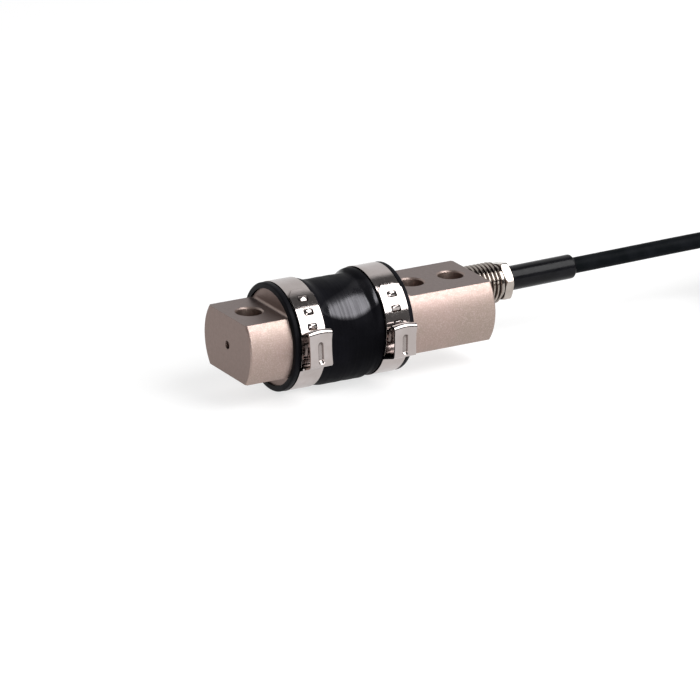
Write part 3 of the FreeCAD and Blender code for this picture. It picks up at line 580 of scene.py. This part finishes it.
def hook(name, x_mid, path, window, material):
    """A tongue pressed up out of the inner layer: blunt where the window pulls on it, then sloping away."""
    length, width, height = LUG
    outline = LUG_FACE + LUG_SLOPE
    verts = []
    for along, up in outline:
        point, _, normal = path.at(window + along * length)
        for share in LUG_CUTS:
            crown = 1 - LUG_CROWN * (2 * share) ** 4 if up > 0 else 1.0
            base = point - normal * (TAIL_MID - BAND_MID)
            spot = base + normal * (STRIP / 2 + height * up * crown)
            verts.append((x_mid + share * width, -spot.x, AXIS_Z + spot.y))
    cuts = len(LUG_CUTS)
    faces = grid_faces(len(outline), cuts, close_rows=True)
    faces.append(tuple(i * cuts for i in range(len(outline))))
    faces.append(tuple(i * cuts + cuts - 1 for i in reversed(range(len(outline)))))
    obj = piece(name, verts, faces, material)
    sharpen(obj, degrees=50)
    bevel(obj, LUG_ROUND)


class Shader:
    """A node material that is built up from object-space noise."""

    def __init__(self, name, colour, rough, metal=0.0, **sockets):
        self.material = bpy.data.materials.new(name)
        self.material.use_nodes = True
        self.nodes = self.material.node_tree.nodes
        self.links = self.material.node_tree.links
        self.bsdf = self.nodes["Principled BSDF"]
        self.colour = colour
        self.bsdf.inputs["Base Color"].default_value = (*colour, 1)
        self.bsdf.inputs["Roughness"].default_value = rough
        self.bsdf.inputs["Metallic"].default_value = metal
        for key, value in sockets.items():
            self.bsdf.inputs[key.replace("_", " ")].default_value = value
        self.rough = rough
        self.place = self.nodes.new("ShaderNodeTexCoord").outputs["Object"]
        self.height = None

    def noise(self, scale, stretch=(1, 1, 1), detail=3.0):
        """A noise field with so many features to a metre, along each axis by its share."""
        mapping = self.nodes.new("ShaderNodeMapping")
        mapping.inputs["Scale"].default_value = [scale * s for s in stretch]
        self.links.new(self.place, mapping.inputs["Vector"])
        noise = self.nodes.new("ShaderNodeTexNoise")
        noise.inputs["Scale"].default_value = 1.0
        noise.inputs["Detail"].default_value = detail
        noise.inputs["Roughness"].default_value = NOISE_ROUGH
        self.links.new(mapping.outputs["Vector"], noise.inputs["Vector"])
        return noise.outputs["Fac"]

    def math(self, operation, first, second=0.0):
        """A math node of two numbers or sockets."""
        node = self.nodes.new("ShaderNodeMath")
        node.operation = operation
        for socket, value in zip(node.inputs, (first, second)):
            if isinstance(value, (int, float)):
                socket.default_value = value
            else:
                self.links.new(value, socket)
        return node.outputs["Value"]

    def along(self, axis):
        """The object-space place along X, Y or Z, in millimetres."""
        split = self.nodes.new("ShaderNodeSeparateXYZ")
        self.links.new(self.place, split.inputs["Vector"])
        return self.math("MULTIPLY", split.outputs[axis], 1 / MM)

    def facing(self, axis):
        """How far the surface faces along X, Y or Z of its object."""
        split = self.nodes.new("ShaderNodeSeparateXYZ")
        self.links.new(self.place.node.outputs["Normal"], split.inputs["Vector"])
        return split.outputs[axis]

    def round_edges(self, radius):
        """The shading rounds every edge by so many millimetres."""
        node = self.nodes.new("ShaderNodeBevel")
        node.samples = EDGE_SAMPLES
        node.inputs["Radius"].default_value = radius * MM
        self.height = node.outputs["Normal"]

    def paint_gap_shade(self, reach, gap_shade_colour, low, high):
        """Painted shade: the colour darkens in gaps and folds up to so many millimetres wide, where ambient
        occlusion finds them.
        """
        node = self.nodes.new("ShaderNodeAmbientOcclusion")
        node.samples = GAP_SAMPLES
        node.inputs["Distance"].default_value = reach * MM
        self.tint(self.ramp(node.outputs["AO"], low, high, 1.0, 0.0), gap_shade_colour, 0.0, 1.0)

    def ramp(self, field, low, high, to_low, to_high):
        """A field's range, brought to another range and kept in it."""
        node = self.nodes.new("ShaderNodeMapRange")
        for key, value in zip(("From Min", "From Max", "To Min", "To Max"), (low, high, to_low, to_high)):
            node.inputs[key].default_value = value
        self.links.new(field, node.inputs["Value"])
        return node.outputs["Result"]

    def tint(self, field, other, low=0.35, high=0.65):
        """The base colour turns to another where a field is high."""
        mix = self.nodes.new("ShaderNodeMix")
        mix.data_type = "RGBA"
        base = self.bsdf.inputs["Base Color"]
        if base.is_linked:
            self.links.new(base.links[0].from_socket, mix.inputs["A"])
        else:
            mix.inputs["A"].default_value = (*self.colour, 1)
        mix.inputs["B"].default_value = (*other, 1)
        self.links.new(self.ramp(field, low, high, 0.0, 1.0), mix.inputs["Factor"])
        self.links.new(mix.outputs["Result"], base)

    def varied(self, field, spread):
        """The roughness, up to so much lower or higher with a field."""
        return self.ramp(field, NOISE_LOW, NOISE_HIGH, self.rough - spread, self.rough + spread)

    def uneven(self, field, spread):
        """The roughness varies with a field."""
        self.links.new(self.varied(field, spread), self.bsdf.inputs["Roughness"])

    def bump(self, field, depth):
        """Relief of so many millimetres, on top of what is there."""
        node = self.nodes.new("ShaderNodeBump")
        node.inputs["Strength"].default_value = 1.0
        node.inputs["Distance"].default_value = depth * MM
        self.links.new(field, node.inputs["Height"])
        if self.height:
            self.links.new(self.height, node.inputs["Normal"])
        self.height = node.outputs["Normal"]
        self.links.new(self.height, self.bsdf.inputs["Normal"])


def blasted_nickel():
    """Matt nickel plate with a grain; painted shade darkens the colour of the tops and of the ends that face
    -X.
    """
    shader = Shader(
        "blasted_nickel",
        (0.365, 0.262, 0.235),
        0.47,
        1.0,
        Coat_Weight=0.5,
        Coat_Roughness=0.4,
        Specular_Tint=(0.72, 0.68, 0.66, 1),
    )
    # how far a face points to -X: the mask of the painted shade on the ends
    end_shade_mask = shader.math("MULTIPLY", shader.facing("X"), -1.0)
    shader.tint(shader.noise(45, detail=3), (0.31, 0.245, 0.205))
    shader.tint(shader.noise(2600, detail=1), (0.43, 0.33, 0.30), low=0.45, high=0.75)
    # painted shade: faces that point up get a darker colour
    shader.tint(shader.facing("Z"), (0.195, 0.154, 0.146), low=0.6, high=0.95)
    # painted shade: faces that point to -X get a darker colour
    shader.tint(end_shade_mask, (0.205, 0.146, 0.127), low=0.7, high=0.95)
    shader.round_edges(0.4)
    shader.uneven(shader.noise(900), 0.06)
    shader.bump(shader.noise(3800, detail=2), 0.035)
    shader.bump(shader.noise(1200, detail=2), 0.02)
    return shader.material


def bright_strip():
    """Bright stainless strip, with painted shade in its folds and gaps; the shading of the front clamp's
    layers leans.
    """
    shader = Shader("bright_strip", (0.47, 0.425, 0.415), 0.09, 1.0)
    shader.tint(shader.noise(150, detail=2), (0.42, 0.375, 0.36))
    # painted shade: darker colour in the ear's gap, its channel and round the windows and hooks
    shader.paint_gap_shade(1.1, (0.035, 0.022, 0.016), low=0.5, high=0.97)
    shader.uneven(shader.noise(1800, detail=4), 0.07)
    shader.bump(shader.noise(1400, (1, 0.05, 0.05), detail=2), 0.004)
    shader.bump(shader.noise(420, detail=3), 0.028)
    shader.bump(shader.noise(2600, detail=2), 0.006)
    lean = shader.ramp(shader.along("X"), SLEEVE_MIDDLE, SLEEVE_MIDDLE + 0.1, -TAIL_LEAN, 0.0)
    lean = shader.math("MULTIPLY", lean, shader.ramp(shader.along("Y"), *LEAN_Y, 0.0, 1.0))
    above_root = shader.math("ADD", shader.along("Z"), -EAR_ROOT_Z)
    shader.bump(shader.math("MULTIPLY", above_root, lean), 1.0)
    return shader.material


def nickelled_brass():
    """Bright nickel plate, with painted shade in the thread's grooves."""
    shader = Shader("nickelled_brass", (0.46, 0.41, 0.37), 0.12, 1.0)
    shader.tint(shader.noise(300, detail=2), (0.38, 0.335, 0.30))
    # painted shade: darker colour in the thread's grooves and other narrow gaps
    shader.paint_gap_shade(1.5, (0.03, 0.022, 0.018), low=0.45, high=0.95)
    shader.uneven(shader.noise(900), 0.05)
    shader.bump(shader.noise(1500, detail=2), 0.006)
    return shader.material


def painted_highlight_band(shader):
    """The specular level in the rubber's painted highlight band, raised where the key lamp's reflection
    falls: its edges rise towards its ends, and streaks run across it.
    """
    off_middle = shader.math("DIVIDE", shader.math("ADD", shader.along("X"), -HIGHLIGHT_X), HIGHLIGHT_REACH)
    rise = shader.math("MULTIPLY", shader.math("MULTIPLY", off_middle, off_middle), HIGHLIGHT_RISE)
    over_edge = shader.math("SUBTRACT", shader.along("Z"), rise)
    level = shader.ramp(over_edge, HIGHLIGHT_Z, HIGHLIGHT_Z + HIGHLIGHT_FADE, DULL_LEVEL, HIGHLIGHT_LEVEL)
    slant = shader.math("MULTIPLY", off_middle, HIGHLIGHT_SLANT)
    over_edge = shader.math("SUBTRACT", shader.along("Z"), slant)
    upper = shader.ramp(over_edge, HIGHLIGHT_TOP - 1.0, HIGHLIGHT_TOP + HIGHLIGHT_FADE, 1.0, 0.05)
    streaks = shader.ramp(shader.noise(1700, (1, 0.02, 0.02), detail=2), NOISE_LOW, NOISE_HIGH, 0.65, 1.25)
    return shader.math("MULTIPLY", shader.math("MULTIPLY", level, upper), streaks)


def moulded_rubber():
    """Black rubber, dull but for its rims and a painted highlight band along its upper flank, where the
    specular level is raised to show the key lamp's reflection.
    """
    shader = Shader("moulded_rubber", (0.003, 0.003, 0.004), 0.22, Specular_Tint=(0.95, 0.93, 1.0, 1))
    shader.tint(shader.noise(90, detail=3), (0.006, 0.006, 0.008))
    # painted highlight: the specular level is high only in a band shaped to the key lamp's reflection
    band = painted_highlight_band(shader)
    from_middle = shader.math("ABSOLUTE", shader.math("ADD", shader.along("X"), -SLEEVE_MIDDLE))
    rim = SLEEVE_END - SLEEVE_MIDDLE - RIM_WIDTH
    rims = shader.ramp(from_middle, rim, rim + RIM_FADE, 0.0, RIM_LEVEL)
    shader.links.new(shader.math("MAXIMUM", band, rims), shader.bsdf.inputs["Specular IOR Level"])
    outside_band = shader.ramp(band, 0.05, 0.4, 0.25, 0.0)
    rough = shader.math("ADD", shader.varied(shader.noise(220), 0.06), outside_band)
    shader.links.new(rough, shader.bsdf.inputs["Roughness"])
    shader.bump(shader.noise(1300, (1, 0.03, 0.03), detail=2), 0.010)
    shader.bump(shader.noise(120, detail=2), 0.10)
    return shader.material


def satin_jacket():
    """The cable's black jacket."""
    shader = Shader("satin_jacket", (0.004, 0.005, 0.006), 0.4, Specular_IOR_Level=0.016)
    shader.tint(shader.noise(160, detail=3), (0.008, 0.009, 0.011))
    shader.uneven(shader.noise(400), 0.06)
    shader.bump(shader.noise(900, (0.1, 1, 1), detail=2), 0.01)
    return shader.material


def shrink_film():
    """Black shrink tube, glossier than the jacket."""
    shader = Shader("shrink_film", (0.004, 0.004, 0.005), 0.2, Specular_IOR_Level=0.12)
    shader.tint(shader.noise(200, detail=3), (0.008, 0.008, 0.010))
    shader.uneven(shader.noise(500), 0.07)
    shader.bump(shader.noise(350, (0.4, 1, 1), detail=3), 0.02)
    return shader.material


def grained(name, colour, other, rough, metal=0.0, scale=1500.0, depth=0.01):
    """A plain finish for the small pieces: two tones, uneven gloss and a fine grain."""
    shader = Shader(name, colour, rough, metal)
    shader.tint(shader.noise(scale / 4, detail=2), other)
    shader.uneven(shader.noise(scale / 2), rough * 0.2)
    shader.bump(shader.noise(scale, detail=2), depth)
    return shader.material


def make_materials():
    """The finish of each material slot."""
    return {
        "plated_steel": blasted_nickel(),
        "stainless": bright_strip(),
        "nickel_brass": nickelled_brass(),
        "sleeve_rubber": moulded_rubber(),
        "jacket": satin_jacket(),
        "shrink_tube": shrink_film(),
        **{name: grained(name, *look) for name, look in SMALL_FINISHES.items()},
    }


def finish_nodes(materials):
    """Each CAD node gets its slot's material."""
    slots = {entry["node"]: entry["material_slot"] for entry in frame["record"]["subparts"]}
    for name, obj in frame["nodes"].items():
        obj.data.materials.clear()
        obj.data.materials.append(materials[slots[name]])


def hank_place(turn, last_turn):
    """Column and layer, both with fractions, that the cable has reached after so many turns."""
    stay = last_turn / len(HANK_SLOTS)
    column, layer = HANK_SLOTS[0]
    for k in range(1, len(HANK_SLOTS)):
        share = smooth_step(k * stay - CROSSING / 2, k * stay + CROSSING / 2, turn)
        column += (HANK_SLOTS[k][0] - HANK_SLOTS[k - 1][0]) * share
        layer += (HANK_SLOTS[k][1] - HANK_SLOTS[k - 1][1]) * share
    return column, layer


def hank_route():
    """Points of the hank: clockwise from above, from the near fold's end of the +Y run to the tail."""
    start_x, middle_y = HANK_START
    middle_r = sum(FOLD_RADII) / 2
    run_share = HANK_RUN / (2 * HANK_RUN + 2 * math.pi * middle_r)
    end_share = 0.5 + (start_x + HANK_RUN - TAIL[0][0]) / HANK_RUN * run_share
    last_turn = WHOLE_TURNS + end_share
    swell = 1 / math.cos(math.radians(FOLD_STEP / 2))
    stations = [(share * run_share, share * HANK_RUN, 90.0, 1.0) for share in (1 / 6, 1 / 2, 5 / 6)]
    for angle in range(FOLD_STEP // 2, 180, FOLD_STEP):
        part = run_share + (0.5 - run_share) * angle / 180
        stations.append((part, HANK_RUN, 90.0 - angle, swell))
    points = []
    for half in range(2 * WHOLE_TURNS + 1):
        side = 1 if half % 2 == 0 else -1
        for part, along, angle, grow in stations:
            turn = half / 2 + part
            column, layer = hank_place(turn, last_turn)
            radius = (FOLD_RADII[0] + (FOLD_RADII[1] - FOLD_RADII[0]) * column) * grow
            x = along + radius * math.cos(math.radians(angle))
            y = radius * math.sin(math.radians(angle))
            if side < 0:
                x, y = HANK_RUN - x, -y
            points.append((start_x + x, middle_y + y, STRAND_LOW + LAYER_RISE * layer))
    return points


def cord_curve(name, points, dia, material):
    """A smooth round cord with these control points."""
    curve = bpy.data.curves.new(name, "CURVE")
    curve.dimensions = "3D"
    curve.bevel_depth = dia / 2 * MM
    curve.bevel_resolution = 5
    curve.resolution_u = 6
    curve.use_fill_caps = True
    spline = curve.splines.new("NURBS")
    spline.points.add(len(points) - 1)
    for target, point in zip(spline.points, points):
        target.co = (*(Vector(point) * MM), 1)
    spline.order_u = 3
    spline.use_endpoint_u = True
    curve.materials.append(material)
    obj = bpy.data.objects.new(name, curve)
    bpy.context.collection.objects.link(obj)
    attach(obj, "root")
    return obj


def cable(materials):
    """The cable from the entry to the end of its jacket, with its hank."""
    obj = cord_curve("cable", LEAD + hank_route() + TAIL, CABLE_DIA, materials["jacket"])
    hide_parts("cable_lead", "cable_hank", "cable_tail")


def build_stage():
    """A pale floor, soft lamps, and a world that is pale behind the object and dim overhead and in front."""
    floor = bpy.data.objects.new("floor", bpy.data.meshes.new("floor"))
    bm = bmesh.new()
    bmesh.ops.create_circle(bm, cap_ends=True, segments=96, radius=FLOOR_RADIUS)
    bm.to_mesh(floor.data)
    bm.free()
    floor.location.z = FLOOR_Z * MM
    bpy.context.collection.objects.link(floor)
    floor.data.materials.append(pale_floor())
    for name, (aim, distance, size, watts) in LAMPS.items():
        lamp(name, aim, distance, size, watts)
    bpy.context.scene.world = studio_world()


def pale_floor():
    """A pale matt floor that looks white straight on and in reflections, and still takes the shadow."""
    shader = Shader("floor", (FLOOR_GREY, FLOOR_GREY, FLOOR_GREY), 0.9, Specular_IOR_Level=0.0)
    rays = shader.nodes.new("ShaderNodeLightPath").outputs
    seen = shader.math("ADD", rays["Is Camera Ray"], rays["Is Glossy Ray"])
    seen = shader.math("MINIMUM", shader.math("ADD", seen, rays["Is Transmission Ray"]), 1.0)
    shader.bsdf.inputs["Emission Color"].default_value = (1, 1, 1, 1)
    shader.links.new(shader.math("MULTIPLY", seen, FLOOR_LIFT), shader.bsdf.inputs["Emission Strength"])
    return shader.material


def studio_world():
    """Pale behind the object up to well above it, dim overhead and in front."""
    world = bpy.data.worlds.new("studio")
    world.use_nodes = True
    nodes, links = world.node_tree.nodes, world.node_tree.links
    place = nodes.new("ShaderNodeTexCoord")
    split = nodes.new("ShaderNodeSeparateXYZ")
    links.new(place.outputs["Generated"], split.inputs["Vector"])
    lean = nodes.new("ShaderNodeMath")
    lean.operation = "MULTIPLY_ADD"
    lean.inputs[1].default_value = -BACK_TOP
    links.new(split.outputs["Z"], lean.inputs[0])
    links.new(split.outputs["Y"], lean.inputs[2])
    back = nodes.new("ShaderNodeMapRange")
    back.interpolation_type = "SMOOTHSTEP"
    for key, value in zip(("From Min", "From Max", "To Min", "To Max"), (*BACK_BLEND, WORLD_DIM, WORLD_PALE)):
        back.inputs[key].default_value = value
    links.new(lean.outputs["Value"], back.inputs["Value"])
    links.new(back.outputs["Result"], nodes["Background"].inputs["Color"])
    return world


def lamp(name, aim, distance, size, watts):
    """A soft rectangular lamp in a direction from the bar, turned towards it."""
    light = bpy.data.lights.new(name, "AREA")
    light.shape = "RECTANGLE"
    light.size, light.size_y = size
    light.energy = watts
    obj = bpy.data.objects.new(name, light)
    direction = Vector(aim).normalized()
    target = Vector((LAMP_TARGET_X, 0.0, AXIS_Z)) * MM
    obj.location = target + direction * distance
    obj.rotation_euler = direction.to_track_quat("Z", "Y").to_euler()
    bpy.context.collection.objects.link(obj)


def build_camera():
    """The camera at the photograph's viewing angle."""
    camera = bpy.data.cameras.new("camera")
    camera.lens = CAMERA_LENS
    camera.clip_end = CAMERA_REACH
    obj = bpy.data.objects.new("camera", camera)
    obj.location = Vector(CAMERA_PLACE) * MM
    obj.rotation_euler = (math.radians(90 - CAMERA_ELEVATION), 0, math.radians(CAMERA_AZIMUTH))
    bpy.context.collection.objects.link(obj)
    bpy.context.scene.camera = obj


bpy.context.scene.view_settings.view_transform = "Standard"
build_camera()
build_stage()
finishes = make_materials()
finish_nodes(finishes)
cable(finishes)
for clamp, made in CLAMPS.items():
    strip_clamp(clamp, made["x"], made["tail"], made["ear"], finishes["stainless"])
rubber_sleeve(finishes["sleeve_rubber"])
gland_screw(finishes["nickel_brass"])
